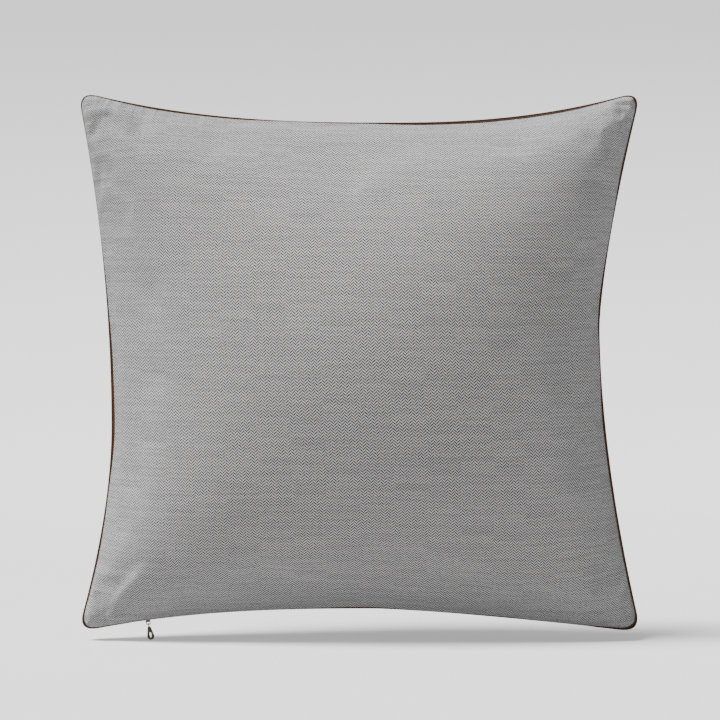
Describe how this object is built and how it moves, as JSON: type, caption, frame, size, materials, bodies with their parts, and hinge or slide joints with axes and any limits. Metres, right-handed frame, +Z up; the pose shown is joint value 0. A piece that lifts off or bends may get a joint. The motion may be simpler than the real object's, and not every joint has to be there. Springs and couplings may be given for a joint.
{
  "type": "throw pillow",
  "caption": "Square knife-edge throw pillow with a herringbone front, a plain brown back, a filled insert and a zip hidden in its bottom seam.",
  "frame": {"origin": "middle of the whole pillow, in the plane of its edge seam", "axes": "+Z up the pillow as it stands with its zip at the bottom, +X to its right seen from the front, +Y out of the brown back, -Y out of the herringbone front"},
  "size_m": [0.4994, 0.19, 0.4888],
  "materials": {
    "herringbone_cloth": "grey and off-white herringbone twill",
    "brown_cloth": "plain brown cloth with a short, soft nap",
    "sewing_thread": "spun polyester thread",
    "casing_cotton": "thin white cotton",
    "fibre_fill": "loose polyester fibre",
    "zip_tape": "woven polyester tape",
    "zip_coil": "moulded polyester coil",
    "zip_metal": "dark plated zinc",
    "pull_metal": "dark bronze-grey plated zinc, satin"
  },
  "bodies": {
    "cover": {"front_panel": "herringbone_cloth", "back_panel": "brown_cloth", "seam_thread": "sewing_thread", "overlock_thread": "sewing_thread", "insert_front": "casing_cotton", "insert_back": "casing_cotton", "insert_seam_thread": "casing_cotton", "filling": "fibre_fill", "zip_tape_front": "zip_tape", "zip_tape_back": "zip_tape", "zip_coil_front": "zip_coil", "zip_coil_back": "zip_coil", "zip_stitching_front": "sewing_thread", "zip_stitching_back": "sewing_thread", "zip_top_stops": "zip_metal", "zip_bottom_stop": "zip_metal"},
    "slider": {"slider_body": "zip_metal", "slider_bridge": "zip_metal"},
    "pull": {"pull_tab": "pull_metal"}
  },
  "joints": [
    {"name": "zip_travel", "type": "hinge", "parent": "cover", "child": "slider", "pos_m": [0, 0, -1.75755], "axis": [0, 1, 0], "range_deg": [0, 14.15]},
    {"name": "pull_swing", "type": "hinge", "parent": "slider", "child": "pull", "pos_m": [-0.19009, 0, -0.22983], "axis": [0, 1, 0], "range_deg": [-71, 79]}
  ]
}
